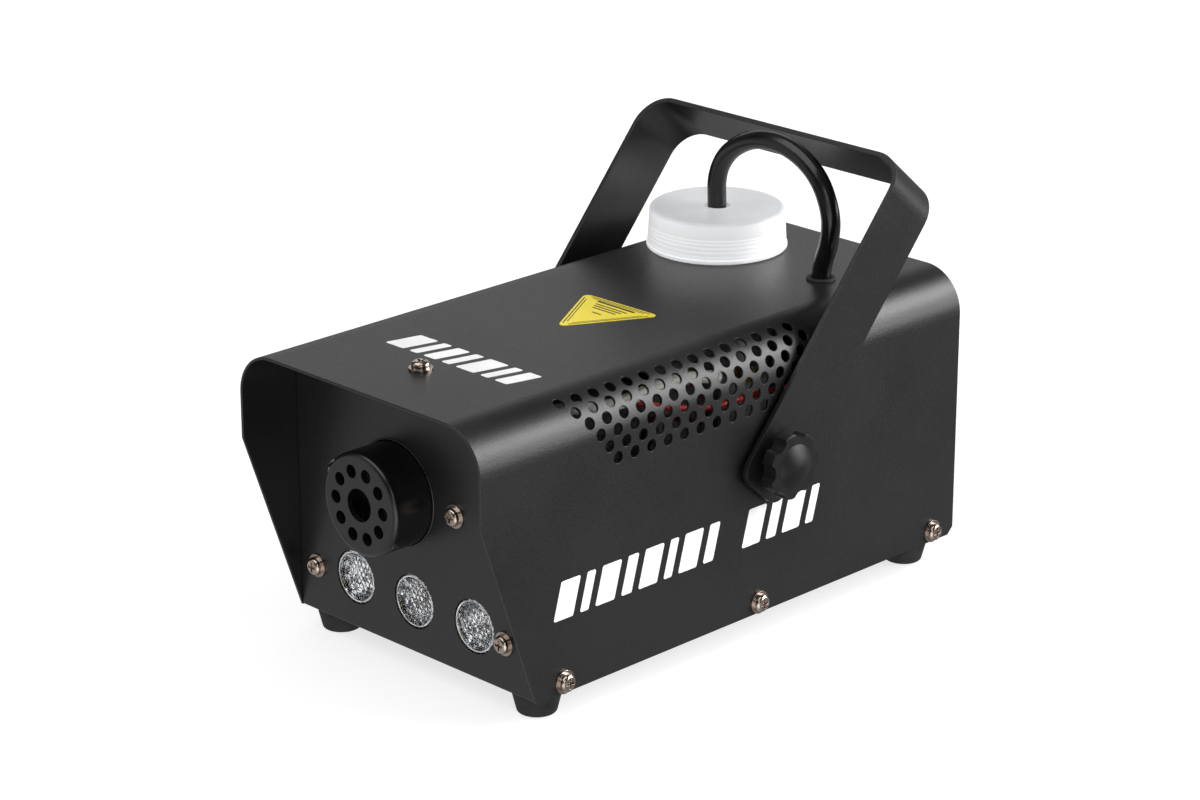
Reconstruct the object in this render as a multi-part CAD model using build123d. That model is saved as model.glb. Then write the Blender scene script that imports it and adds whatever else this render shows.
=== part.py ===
"""Compact fog machine: folded sheet housing, swing handle, fluid bottle, pump, heater, nozzle.

Frame: X runs across the machine, Y along it from the nozzle end (-Y) to the rear (+Y), and
Z up. The right-hand side is +X.
The origin lies on the standing surface, under the middle of the machine.
Each sub-part is one STEP file in parts/. All lengths are in millimetres.
"""
from build123d import *
import os
from math import cos, pi, radians, sin, tan

# ---------------------------------------------------------------- housing
WIDTH = 120.0
COVER_HEIGHT = 101.6
FOOT_HEIGHT = 8.5
SHEET = 1.0
SHOULDER_R = 16.0
HOOD_Y = -121.1          # front edge of the hood
PANEL_Y = -97.0          # outer face of the front panel, set back under the hood
REAR_PANEL_Y = 116.0     # outer face of the rear panel
REAR_EDGE_Y = 117.1      # rear edge of the top cover
REAR_LIMIT_Y = 121.1     # furthest point of the rear fittings
KNEE_Z = 77.5            # where the hood's side edge starts to slant back
TRAY_HALF = 58.8         # half width of the bottom tray, a slip fit inside the cover
FLANGE_HEIGHT = 12.0

BASE_Z = FOOT_HEIGHT
FLOOR_Z = BASE_Z + SHEET             # upper face of the tray's floor
TOP_Z = BASE_Z + COVER_HEIGHT
SIDE_X = WIDTH / 2
ARC_Z = TOP_Z - SHOULDER_R           # where the shoulder's round starts
PANEL_IN_Y = PANEL_Y + SHEET
REAR_IN_Y = REAR_PANEL_Y - SHEET

# ---------------------------------------------------------------- vents, screws and feet
VENT_R = 2.15
VENT_PITCH = 7.92
VENTS_PER_ROW = 15
VENT_ROWS = 6
VENT_ROW_STEP = 4.95                 # between rows, along the sheet
VENT_LOW_ARC = -8.2                  # lowest row, measured along the sheet from ARC_Z
VENT_LOW_Y = -58.7                   # first hole of the lowest row
M4_R = 1.95
M4_HOLE_R = 2.1
SIDE_SCREW_YS = (-84.2, 11.2, 104.9)
SIDE_SCREW_Z = 12.8
TOP_SCREW_Y = -91.9
FOOT_X = 49.7
FOOT_YS = (-86.9, 101.3)
FOOT_TOP_R = 8.9
FOOT_BOTTOM_R = 6.8

# ---------------------------------------------------------------- front end
NOZZLE_X = -8.0
NOZZLE_Z = 65.0
SHROUD_R = 18.45
SHROUD_REACH = 16.6
BRACKET_SCREW_X = 29.7               # each side of the nozzle
LED_XS = (-30.0, 0.0, 30.0)
LED_Z = 27.4
LENS_R = 9.4
LED_SCREW_XS = (-50.1, 45.1)
LED_SCREW_Z = 26.0

# ---------------------------------------------------------------- heater
HEATER_FRONT_Y = -80.0
HEATER_BACK_Y = -2.0
HEATER_HALF_W = 22.0
HEATER_HALF_H = 17.0
BLANKET = 5.0
THERMOSTAT_YS = (-55.0, -28.0)
FITTING_END_Y = 17.0                 # end of the fluid fitting's barb

# ---------------------------------------------------------------- pump
PUMP_X = 36.0
PUMP_Y = 28.0
PUMP_TUBE_R = 9.0
PUMP_BORE_R = 5.2
YOKE_Z = (30.0, 62.0)
PUMP_TUBE_Z = (24.0, 86.0)
PLUNGER_Z = (44.0, 68.0)
FEED_END_Y = 45.0                    # end of the pump's inlet stem
OUTLET_END_Z = 93.0                  # end of its outlet stem

# ---------------------------------------------------------------- bottle, cap and hose
BOTTLE_X = -25.0
BOTTLE_Y = 78.3
BOTTLE_R = 24.6
BOTTLE_WALL = 1.2
BOTTLE_Z = (12.3, 122.3)
NECK_R = 22.6
CAP_TOP_Z = 125.5
CAP_TOP_R = 25.0
CAP_BOTTOM_R = 26.1
HOSE_R = 3.5
HOSE_BORE_R = 2.0
CAP_HOLE_R = HOSE_R + 0.8
CORNER_SHARE = 0.45                  # of the shorter run, taken up by a corner's round
GROMMET_X = 29.6
GROMMET_Y = 75.0

# ---------------------------------------------------------------- handle and knobs
PIVOT_Y = 16.0
PIVOT_Z = 65.5
HANDLE_LEAN = 40.7                   # degrees from upright, towards the rear
HANDLE_IN_X = 61.5
STRAP = 1.8
STRAP_WIDTH = 24.6
HANDLE_REACH = 114.6                 # pivot to the crossbar's outer face
HANDLE_TAIL = 13.2                   # strap end beyond the pivot
HANDLE_BEND_R = 13.0
STUD_R = 3.0
KNOB_X = 63.6
KNOB_BODY_X = 66.5
KNOB_FACE_X = 72.0
KNOB_TIP_X = 75.0
KNOB_R = 12.0
KNOB_HUB_R = 6.5
KNOB_DOME_R = 8.0
KNOB_LOBES = 7
KNOB_NOTCH_R = 3.6
KNOB_NOTCH_AT = 13.6

# ---------------------------------------------------------------- rear fittings
INLET_X = 30.0
INLET_Z = 33.5
SOCKET_Z = 40.0
DRAWER_Z = 21.5
SWITCH_X = 30.0
SWITCH_Z = 75.0
ROCKER_PIVOT_Y = 113.0
ROCKER_R = 7.6
ROCKER_TILT = 12.0                   # degrees, at either of its two positions
REMOTE_X = -42.0
REMOTE_Z = 40.0
LAMP_X = 5.0
LAMP_Z = 75.0
LAMP_R = 3.9

# ---------------------------------------------------------------- electrics
CONTROL_BOARD_Z = 17.0
CONTROL_BOARD_T = 1.6
CONTROL_BOARD_POSTS = [(x, y) for x in (-48, 12) for y in (-72, -20)]
WIRE_R = 1.1


# ================================================================ helpers
def block(x0, x1, y0, y1, z0, z1):
    """A box between two corners."""
    middle = ((x0 + x1) / 2, (y0 + y1) / 2, (z0 + z1) / 2)
    return Pos(*middle) * Box(abs(x1 - x0), abs(y1 - y0), abs(z1 - z0))


def rod(radius, start, end):
    """A round bar between two points."""
    along = Vector(end) - Vector(start)
    return extrude(Plane(origin=start, z_dir=along) * Circle(radius), along.length)


def ring(outer, inner, start, end):
    """A tube between two points, open at both ends."""
    return rod(outer, start, end) - rod(inner, start, end)


def upright(x, y, radius, z0, z1):
    """A round bar standing on Z."""
    return rod(radius, (x, y, z0), (x, y, z1))


def lengthwise(x, z, radius, y0, y1):
    """A round bar lying along Y."""
    return rod(radius, (x, y0, z), (x, y1, z))


def crosswise(y, z, radius, x0, x1):
    """A round bar lying along X."""
    return rod(radius, (x0, y, z), (x1, y, z))


def edges_along(shape, axis):
    """The straight edges that run along an axis."""
    return shape.edges().filter_by(axis)


def corner_radii(points):
    """The largest fair radius at each inner corner of a route."""
    radii = []
    for before, corner, after in zip(points, points[1:], points[2:]):
        run_in = Vector(corner) - Vector(before)
        run_out = Vector(after) - Vector(corner)
        turn = radians(run_in.get_angle(run_out))
        shorter = min(run_in.length, run_out.length)
        radii.append(CORNER_SHARE * shorter / tan(turn / 2))
    return radii


def tube(name, points, outer, bore=0.0, radii=None):
    """A round tube swept along straight runs joined by tangent arcs."""
    radii = radii or corner_radii(points)
    path = FilletPolyline(*points, radius=radii)
    start = Plane(origin=points[0], z_dir=Vector(points[1]) - Vector(points[0]))
    solid = sweep(start * Circle(outer), path=path)
    section = pi * outer ** 2
    if bore:
        solid -= sweep(start * Circle(bore), path=path)
        section -= pi * bore ** 2
    ratio = solid.volume / (section * path.length)
    corners = ", ".join(f"{radius:.1f}" for radius in radii)
    print(f"{name}: length {path.length:.1f}, corner radii {corners}, volume ratio {ratio:.4f}")
    return solid


def pan_screw(at, outward, length, washer=True):
    """A cross-recessed pan-head screw with a captive washer, seated at a point."""
    washer_t = 0.8 if washer else 0.0
    head_h = 2.3
    head = Pos(0, 0, washer_t + head_h / 2) * Cylinder(3.25, head_h)
    head = fillet(head.edges().group_by(Axis.Z)[-1], 1.4)
    slot_z = washer_t + head_h - 0.5
    for angle in (0, 90):
        head -= Pos(0, 0, slot_z) * Rot(0, 0, angle) * Box(3.6, 0.9, 1.4)
    screw = head + Pos(0, 0, -length / 2) * Cylinder(M4_R, length)
    if washer:
        screw += Pos(0, 0, washer_t / 2) * Cylinder(4.2, washer_t)
    return Plane(origin=at, z_dir=outward).location * screw


def save(node, shapes):
    """Write one sub-part; a list is a group of separate solids."""
    group = shapes if isinstance(shapes, list) else [shapes]
    solids = [solid for shape in group for solid in shape.solids()]
    shape = solids[0] if len(solids) == 1 else Compound(children=solids)
    shape.label = node
    export_step(shape, f"parts/{node}.step")


# ================================================================ housing
def vent_tools():
    """Cutters for the staggered holes over both shoulders."""
    tools = []
    for side in (-1, 1):
        centre_x = side * (SIDE_X - SHOULDER_R)
        for row in range(VENT_ROWS):
            arc = VENT_LOW_ARC + row * VENT_ROW_STEP
            angle = max(0.0, arc) / SHOULDER_R
            drop = min(0.0, arc)
            out = Vector(side * cos(angle), 0, sin(angle))
            for hole in range(VENTS_PER_ROW):
                y = VENT_LOW_Y + (hole - row / 2) * VENT_PITCH
                centre = Vector(centre_x, y, ARC_Z + drop)
                near = centre + out * (SHOULDER_R - 3 * SHEET)
                far = centre + out * (SHOULDER_R + 2 * SHEET)
                tools.append(rod(VENT_R, near, far))
    return tools


def top_cover():
    outer = block(-SIDE_X, SIDE_X, HOOD_Y, REAR_EDGE_Y, BASE_Z, TOP_Z)
    outer = fillet(edges_along(outer, Axis.Y).group_by(Axis.Z)[-1], SHOULDER_R)
    inner_x = SIDE_X - SHEET
    inner = block(-inner_x, inner_x, HOOD_Y - 1, REAR_EDGE_Y + 1, BASE_Z - 1, TOP_Z - SHEET)
    inner = fillet(edges_along(inner, Axis.Y).group_by(Axis.Z)[-1], SHOULDER_R - SHEET)
    cover = outer - inner
    slant = Polyline(
        (HOOD_Y - 5, BASE_Z - 5),
        (HOOD_Y - 5, KNEE_Z),
        (HOOD_Y, KNEE_Z),
        (PANEL_Y, BASE_Z),
        (PANEL_Y, BASE_Z - 5),
        close=True,
    )
    cover -= extrude(Plane.YZ * make_face(slant), SIDE_X + 5, both=True)
    rim = cover.edges().filter_by(lambda edge: edge.center().Y < PANEL_Y + 1)
    rim = [edge for edge in rim if abs((edge % 0.5).Y) < 0.9 and edge.length > 2 * SHEET]
    cover = fillet(rim, 0.3)
    rear_corner = Pos(0, REAR_EDGE_Y, BASE_Z) * Rot(45, 0, 0) * Box(2 * WIDTH, 3.8, 3.8)
    cover -= rear_corner
    cover -= vent_tools()
    cover -= upright(BOTTLE_X, BOTTLE_Y, BOTTLE_R + 0.7, TOP_Z - 3, TOP_Z + 3)
    cover -= upright(GROMMET_X, GROMMET_Y, 4.6, TOP_Z - 3, TOP_Z + 3)
    cover -= upright(0, TOP_SCREW_Y, M4_HOLE_R, TOP_Z - 3, TOP_Z + 3)
    for y in SIDE_SCREW_YS:
        cover -= crosswise(y, SIDE_SCREW_Z, M4_HOLE_R, -SIDE_X - 2, SIDE_X + 2)
    cover -= crosswise(PIVOT_Y, PIVOT_Z, STUD_R + 0.4, -SIDE_X - 2, SIDE_X + 2)
    return cover


def end_panel(y0, y1):
    """Upright end of the tray, with corners that follow the cover's shoulders."""
    panel = block(-TRAY_HALF, TRAY_HALF, y0, y1, BASE_Z, TOP_Z - SHEET - 0.2)
    top_corners = edges_along(panel, Axis.Y).group_by(Axis.Z)[-1]
    return fillet(top_corners, SHOULDER_R - SHEET)


def chassis():
    tray = block(-TRAY_HALF, TRAY_HALF, PANEL_Y, REAR_PANEL_Y, BASE_Z, FLOOR_Z)
    tray += end_panel(PANEL_Y, PANEL_IN_Y)
    tray += end_panel(REAR_IN_Y, REAR_PANEL_Y)
    bends = edges_along(tray, Axis.X).filter_by(lambda edge: edge.center().Z < BASE_Z + 0.1)
    tray = fillet(bends, 0.9 * SHEET)
    for side in (-1, 1):
        edge_x = side * TRAY_HALF
        flange_z = (BASE_Z, BASE_Z + FLANGE_HEIGHT)
        tray += block(edge_x - side * SHEET, edge_x, PANEL_IN_Y, REAR_IN_Y, *flange_z)
    tab_top = TOP_Z - SHEET - 0.2
    tray += block(-8, 8, PANEL_Y, PANEL_Y + 12, tab_top - SHEET, tab_top)
    tray -= upright(0, TOP_SCREW_Y, M4_HOLE_R, TOP_Z - 5, TOP_Z)
    for y in SIDE_SCREW_YS:
        tray -= crosswise(y, SIDE_SCREW_Z, M4_HOLE_R, -SIDE_X, SIDE_X)
    for x in (-FOOT_X, FOOT_X):
        for y in FOOT_YS:
            tray -= upright(x, y, M4_HOLE_R, BASE_Z - 2, FLOOR_Z + 2)
    for x in LED_XS:
        tray -= lengthwise(x, LED_Z, LENS_R + 0.4, PANEL_Y - 2, PANEL_IN_Y + 2)
    for x, z in panel_screw_points():
        tray -= lengthwise(x, z, M4_HOLE_R, PANEL_Y - 2, PANEL_IN_Y + 2)
    tray -= lengthwise(NOZZLE_X, NOZZLE_Z, SHROUD_R + 0.25, PANEL_Y - 2, PANEL_IN_Y + 2)
    through = (REAR_IN_Y - 2, REAR_PANEL_Y + 2)
    tray -= block(INLET_X - 13.8, INLET_X + 13.8, *through, INLET_Z - 17.3, INLET_Z + 17.3)
    tray -= block(SWITCH_X - 6.7, SWITCH_X + 6.7, *through, SWITCH_Z - 9.7, SWITCH_Z + 9.7)
    tray -= lengthwise(REMOTE_X, REMOTE_Z, 8.1, *through)
    tray -= lengthwise(LAMP_X, LAMP_Z, LAMP_R + 0.1, *through)
    return tray


def panel_screw_points():
    """Front panel screws: the lamp strip's pair, then the heater bracket's pair."""
    strip = [(x, LED_SCREW_Z) for x in LED_SCREW_XS]
    bracket = [(NOZZLE_X + side * BRACKET_SCREW_X, NOZZLE_Z) for side in (-1, 1)]
    return strip + bracket


def cover_screws():
    screws = [pan_screw((0, TOP_SCREW_Y, TOP_Z), (0, 0, 1), 5.5)]
    for side in (-1, 1):
        for y in SIDE_SCREW_YS:
            screws.append(pan_screw((side * SIDE_X, y, SIDE_SCREW_Z), (side, 0, 0), 4.5))
    return screws


def panel_screws():
    return [pan_screw((x, PANEL_Y, z), (0, -1, 0), 12.0) for x, z in panel_screw_points()]


def rubber_feet():
    feet = []
    for x in (-FOOT_X, FOOT_X):
        for y in FOOT_YS:
            foot = Cone(FOOT_BOTTOM_R, FOOT_TOP_R, FOOT_HEIGHT)
            foot = fillet(foot.edges().group_by(Axis.Z)[0], 1.1)
            foot = Pos(x, y, FOOT_HEIGHT / 2) * foot
            foot -= upright(x, y, M4_HOLE_R, -1, FOOT_HEIGHT + 1)
            feet.append(foot - upright(x, y, 3.6, -1, 4.5))
    return feet


def foot_screws():
    screws = []
    for x in (-FOOT_X, FOOT_X):
        for y in FOOT_YS:
            screws.append(pan_screw((x, y, 4.5), (0, 0, -1), 9.5, washer=False))
    return screws


# ================================================================ front end
def nozzle_shroud():
    front_y = PANEL_Y - SHROUD_REACH
    cup = lengthwise(NOZZLE_X, NOZZLE_Z, SHROUD_R, front_y, PANEL_IN_Y)
    cup = fillet(cup.edges().group_by(Axis.Y)[0], 1.8)
    cup += lengthwise(NOZZLE_X, NOZZLE_Z, 21.5, PANEL_IN_Y, PANEL_IN_Y + 1.5)
    cup -= lengthwise(NOZZLE_X, NOZZLE_Z, SHROUD_R - 2, front_y + 2.2, PANEL_IN_Y + 3)
    cup -= lengthwise(NOZZLE_X, NOZZLE_Z, 5.9, front_y - 1, front_y + 4)
    for hole in range(10):
        angle = 2 * pi * hole / 10
        x = NOZZLE_X + 11.87 * cos(angle)
        z = NOZZLE_Z + 11.87 * sin(angle)
        cup -= lengthwise(x, z, 2.4, front_y - 1, front_y + 4)
    return cup


def nozzle_tip():
    tip_y = -107.5
    stem = lengthwise(NOZZLE_X, NOZZLE_Z, 4.0, tip_y + 3, HEATER_FRONT_Y)
    nose = Plane(origin=(NOZZLE_X, tip_y + 3, NOZZLE_Z), z_dir=(0, -1, 0)).location
    stem += nose * Pos(0, 0, 1.5) * Cone(4.0, 2.6, 3)
    hexagon = Plane(origin=(NOZZLE_X, -101, NOZZLE_Z), z_dir=(0, 1, 0)) * RegularPolygon(6.2, 6)
    stem += extrude(hexagon, 5)
    return stem - lengthwise(NOZZLE_X, NOZZLE_Z, 0.9, tip_y - 1, HEATER_FRONT_Y + 1)


def led_lenses():
    lenses = []
    for x in LED_XS:
        lens = lengthwise(x, LED_Z, LENS_R, PANEL_Y + 0.3, -88)
        lenses.append(fillet(lens.edges().group_by(Axis.Y)[0], 0.8))
    return lenses


def led_holders():
    return [ring(11.2, LENS_R + 0.1, (x, PANEL_IN_Y, LED_Z), (x, -86, LED_Z)) for x in LED_XS]


def led_board():
    board = block(-55, 50, -86, -84.4, LED_Z - 8, LED_Z + 8)
    for x in LED_SCREW_XS:
        board -= lengthwise(x, LED_SCREW_Z, M4_HOLE_R, -88, -82)
    return board


def led_emitters():
    emitters = []
    for x in LED_XS:
        pad = block(x - 3.5, x + 3.5, -86.9, -86, LED_Z - 3.5, LED_Z + 3.5)
        emitters.append(pad + lengthwise(x, LED_Z, 2.4, -87.8, -86.9))
    return emitters


def board_spacers():
    spacers = []
    for x in LED_SCREW_XS:
        spacers.append(ring(3.6, M4_HOLE_R, (x, PANEL_IN_Y, LED_SCREW_Z), (x, -86, LED_SCREW_Z)))
    for x, y in CONTROL_BOARD_POSTS:
        spacers.append(upright(x, y, 3.0, FLOOR_Z, CONTROL_BOARD_Z))
    return spacers


# ================================================================ heater
def heater_bracket():
    x0 = NOZZLE_X
    plate_y = PANEL_IN_Y + 1.6
    plate = block(x0 - 23, x0 + 23, plate_y, plate_y + 1.5, NOZZLE_Z - 18, NOZZLE_Z + 18)
    for side in (-1, 1):
        joggle = x0 + side * 22.4
        ear_end = x0 + side * 35
        ear_z = (NOZZLE_Z - 8, NOZZLE_Z + 8)
        plate += block(joggle, joggle + side * 1.4, PANEL_IN_Y, plate_y + 1.5, *ear_z)
        plate += block(joggle, ear_end, PANEL_IN_Y, PANEL_IN_Y + 1.5, *ear_z)
        plate -= lengthwise(x0 + side * BRACKET_SCREW_X, NOZZLE_Z, M4_HOLE_R, -98, -90)
        for level in (-11, 11):
            post = (x0 + side * 16, NOZZLE_Z + level)
            plate += lengthwise(*post, 3.0, plate_y + 1.5, HEATER_FRONT_Y)
    return plate - lengthwise(x0, NOZZLE_Z, 8.0, -98, -90)


def heater_block():
    half_w = HEATER_HALF_W
    low = NOZZLE_Z - HEATER_HALF_H
    high = NOZZLE_Z + HEATER_HALF_H
    body = block(NOZZLE_X - half_w, NOZZLE_X + half_w, HEATER_FRONT_Y, HEATER_BACK_Y, low, high)
    body = fillet(edges_along(body, Axis.Y), 3)
    for side in (-1, 1):
        face = NOZZLE_X + side * half_w
        for level in (-8, 0, 8):
            z = NOZZLE_Z + level
            groove = (HEATER_FRONT_Y - 1, HEATER_BACK_Y + 1, z - 1.2, z + 1.2)
            body -= block(face - side * 2, face + side, *groove)
    return body


def heater_insulation():
    gap = 0.3
    out_w = HEATER_HALF_W + BLANKET
    out_h = HEATER_HALF_H + BLANKET
    in_w = HEATER_HALF_W + gap
    in_h = HEATER_HALF_H + gap
    y0 = HEATER_FRONT_Y + 4
    y1 = HEATER_BACK_Y - 4
    wrap = block(NOZZLE_X - out_w, NOZZLE_X + out_w, y0, y1, NOZZLE_Z - out_h, NOZZLE_Z + out_h)
    wrap = fillet(edges_along(wrap, Axis.Y), 6)
    core = block(NOZZLE_X - in_w, NOZZLE_X + in_w, y0 - 1, y1 + 1, NOZZLE_Z - in_h, NOZZLE_Z + in_h)
    wrap -= fillet(edges_along(core, Axis.Y), 3)
    for y in THERMOSTAT_YS:
        wrap -= upright(NOZZLE_X, y, 9.5, NOZZLE_Z, NOZZLE_Z + 2 * out_h)
    return wrap


def heater_stand():
    across = (NOZZLE_X - 20, NOZZLE_X + 20)
    plate = block(*across, HEATER_BACK_Y, HEATER_BACK_Y + 1.5, FLOOR_Z, NOZZLE_Z + 14)
    plate += block(*across, HEATER_BACK_Y, HEATER_BACK_Y + 14, FLOOR_Z, FLOOR_Z + 1.5)
    for offset in (-12, 0, 12):
        plate -= lengthwise(NOZZLE_X + offset, NOZZLE_Z, 5.4, HEATER_BACK_Y - 1, HEATER_BACK_Y + 3)
    return plate


def heater_terminals():
    terminals = []
    for side in (-1, 1):
        x = NOZZLE_X + side * 12
        bush = lengthwise(x, NOZZLE_Z, 3.6, HEATER_BACK_Y, 5)
        terminals.append(bush + block(x - 0.4, x + 0.4, 5, 13, NOZZLE_Z - 3.1, NOZZLE_Z + 3.1))
    return terminals


def thermostats():
    cutouts = []
    top = NOZZLE_Z + HEATER_HALF_H
    for y in THERMOSTAT_YS:
        disc = upright(NOZZLE_X, y, 8.4, top, top + 5) + upright(NOZZLE_X, y, 6.6, top + 5, top + 10)
        for side in (-1, 1):
            x = NOZZLE_X + side * 4
            disc += block(x - 0.4, x + 0.4, y - 3.1, y + 3.1, top + 10, top + 18)
        cutouts.append(disc)
    return cutouts


def fluid_fitting():
    hexagon = Plane(origin=(NOZZLE_X, HEATER_BACK_Y, NOZZLE_Z), z_dir=(0, 1, 0)) * RegularPolygon(5.2, 6)
    fitting = extrude(hexagon, 9)
    return fitting + barb(NOZZLE_X, NOZZLE_Z, HEATER_BACK_Y + 9)


def barb(x, z, y0):
    """A stem with two ridges, pointing along +Y, that a hose pushes against."""
    stem = lengthwise(x, z, 2.6, y0, FITTING_END_Y)
    step = (FITTING_END_Y - y0) / 3
    for ridge in (1, 2):
        base = Plane(origin=(x, y0 + ridge * step, z), z_dir=(0, 1, 0)).location
        stem += base * Cone(3.2, 2.6, step * 0.7)
    return stem


# ================================================================ pump
def pump_tube():
    tube_z0, tube_z1 = PUMP_TUBE_Z
    body = upright(PUMP_X, PUMP_Y, PUMP_TUBE_R, tube_z0, tube_z1)
    return body - upright(PUMP_X, PUMP_Y, PUMP_BORE_R, tube_z0 + 3, tube_z1 - 3)


def pump_plunger():
    z0, z1 = PLUNGER_Z
    return upright(PUMP_X, PUMP_Y, PUMP_BORE_R - 0.06, z0, z1)


def pump_spring():
    z0 = PUMP_TUBE_Z[0] + 3.7
    height = PLUNGER_Z[0] - z0 - 0.8
    path = Helix(pitch=3.0, height=height, radius=3.9, center=(PUMP_X, PUMP_Y, z0))
    return sweep(Plane(origin=path @ 0, z_dir=path % 0) * Circle(0.55), path=path, is_frenet=True)


def pump_yoke():
    z0, z1 = YOKE_Z
    frame = block(PUMP_X - 16, PUMP_X + 16, PUMP_Y - 14, PUMP_Y + 14, z0, z1)
    frame -= block(PUMP_X - 13.6, PUMP_X + 13.6, PUMP_Y - 15, PUMP_Y + 15, z0 + 2.4, z1 - 2.4)
    return frame - upright(PUMP_X, PUMP_Y, PUMP_TUBE_R + 0.1, z0 - 1, z1 + 1)


def pump_coil():
    z0, z1 = YOKE_Z
    bobbin = ring(13.4, PUMP_TUBE_R + 0.1, (PUMP_X, PUMP_Y, z0 + 2.5), (PUMP_X, PUMP_Y, z1 - 2.5))
    return bobbin - ring(14, 12.4, (PUMP_X, PUMP_Y, z0 + 5), (PUMP_X, PUMP_Y, z1 - 5))


def pump_bracket():
    seat = YOKE_Z[0]
    plate = block(PUMP_X - 16, PUMP_X + 16, PUMP_Y - 14, PUMP_Y + 14, seat - 1.5, seat)
    plate -= upright(PUMP_X, PUMP_Y, PUMP_TUBE_R + 0.3, seat - 3, seat + 1)
    for side in (-1, 1):
        leg = PUMP_X + side * 16
        plate += block(leg - side * 1.5, leg, PUMP_Y - 14, PUMP_Y + 14, FLOOR_Z, seat)
    return plate


def pump_fittings():
    low, high = PUMP_TUBE_Z
    inlet = upright(PUMP_X, PUMP_Y, 7.5, 13, low)
    inlet += rod(2.6, (PUMP_X, PUMP_Y, 18), (PUMP_X, FEED_END_Y, 18))
    outlet = upright(PUMP_X, PUMP_Y, 5.0, high, high + 3)
    outlet += upright(PUMP_X, PUMP_Y, 2.6, high + 3, OUTLET_END_Z)
    return [inlet, outlet]


def pressure_hose():
    route = [
        (NOZZLE_X, FITTING_END_Y, NOZZLE_Z),
        (NOZZLE_X, 30, NOZZLE_Z),
        (-5, 38, 76),
        (2, 38, 89),
        (13, 34, 99),
        (26, 30, 104.5),
        (PUMP_X, PUMP_Y, 103.5),
        (PUMP_X, PUMP_Y, OUTLET_END_Z),
    ]
    return tube("pressure_hose", route, 2.6, 1.2)


def feed_hose():
    route = [
        (GROMMET_X, GROMMET_Y, 62),
        (GROMMET_X, GROMMET_Y, 42),
        (30.5, 72, 27),
        (33.5, 64, 19),
        (PUMP_X, 57, 18),
        (PUMP_X, FEED_END_Y, 18),
    ]
    return tube("feed_hose", route, HOSE_R, HOSE_BORE_R)


def hose_joiner():
    at = (GROMMET_X, GROMMET_Y)
    joiner = upright(*at, 4.4, 62, 65) + upright(*at, 1.7, 57, 70)
    return joiner - upright(*at, 1.0, 50, 75)


# ================================================================ bottle, cap and hose
def bottle():
    z0, z1 = BOTTLE_Z
    shoulder = TOP_Z - 3
    at = (BOTTLE_X, BOTTLE_Y)
    body = upright(*at, BOTTLE_R, z0, shoulder)
    body = fillet(body.edges().group_by(Axis.Z)[0], 4)
    body += upright(*at, NECK_R, shoulder, z1)
    for turn in range(2):
        z = shoulder + 7 + 3.6 * turn
        body += upright(*at, NECK_R + 0.5, z, z + 1.2)
    hollow = upright(*at, BOTTLE_R - BOTTLE_WALL, z0 + BOTTLE_WALL, shoulder - BOTTLE_WALL)
    hollow = fillet(hollow.edges().group_by(Axis.Z)[0], 3)
    hollow += upright(*at, NECK_R - BOTTLE_WALL, shoulder - 2, z1 + 1)
    return body - hollow


def bottle_cap():
    z0 = TOP_Z + 0.3
    height = CAP_TOP_Z - z0
    at = Pos(BOTTLE_X, BOTTLE_Y, z0 + height / 2)
    cap = Cone(CAP_BOTTOM_R, CAP_TOP_R, height)
    cap = at * fillet(cap.edges().group_by(Axis.Z)[-1], 1.2)
    cap -= upright(BOTTLE_X, BOTTLE_Y, NECK_R + 0.9, z0 - 1, CAP_TOP_Z - 2)
    return cap - upright(BOTTLE_X, BOTTLE_Y, CAP_HOLE_R, CAP_TOP_Z - 4, CAP_TOP_Z + 1)


def cap_liner():
    at = (BOTTLE_X, BOTTLE_Y)
    disc = upright(*at, NECK_R + 0.4, BOTTLE_Z[1] + 0.05, CAP_TOP_Z - 2.05)
    return disc - upright(*at, CAP_HOLE_R, 120, 126)


def intake_hose():
    route = [
        (BOTTLE_X, BOTTLE_Y, 33),
        (BOTTLE_X, BOTTLE_Y, 124.7),
        (-24.7, 77.3, 138),
        (-17.0, 76.0, 149),
        (-2.7, 75.1, 156.6),
        (14.3, 74.4, 156.5),
        (28.1, 74.1, 149),
        (34.5, 74.3, 136),
        (33.7, 74.7, 125),
        (GROMMET_X, GROMMET_Y, 114.8),
        (GROMMET_X, GROMMET_Y, 65.3),
    ]
    radii = corner_radii(route)
    radii[-1] = 30.0
    return tube("intake_hose", route, HOSE_R, HOSE_BORE_R, radii)


def pickup_filter():
    at = (BOTTLE_X, BOTTLE_Y)
    body = upright(*at, 5.2, 18, 32.9)
    body = fillet(body.edges().group_by(Axis.Z)[0], 1.5)
    for z in (21, 24, 27):
        body -= upright(*at, 6, z, z + 1) - upright(*at, 4.4, z, z + 1)
    return body


def hose_grommet():
    at = (GROMMET_X, GROMMET_Y)
    under = TOP_Z - SHEET
    body = upright(*at, 5.3, TOP_Z, TOP_Z + 1.0) + upright(*at, 4.5, under, TOP_Z)
    body += upright(*at, 5.6, under - 1.4, under)
    body = fillet(body.edges().group_by(Axis.Z)[-1], 0.5)
    return body - upright(*at, HOSE_R + 0.25, under - 5, TOP_Z + 5)


def bottle_cradle():
    at = (BOTTLE_X, BOTTLE_Y)
    cup = upright(*at, BOTTLE_R + 3, FLOOR_Z, FLOOR_Z + 22)
    return cup - upright(*at, BOTTLE_R + 0.6, BOTTLE_Z[0] - 0.3, FLOOR_Z + 25)


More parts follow.
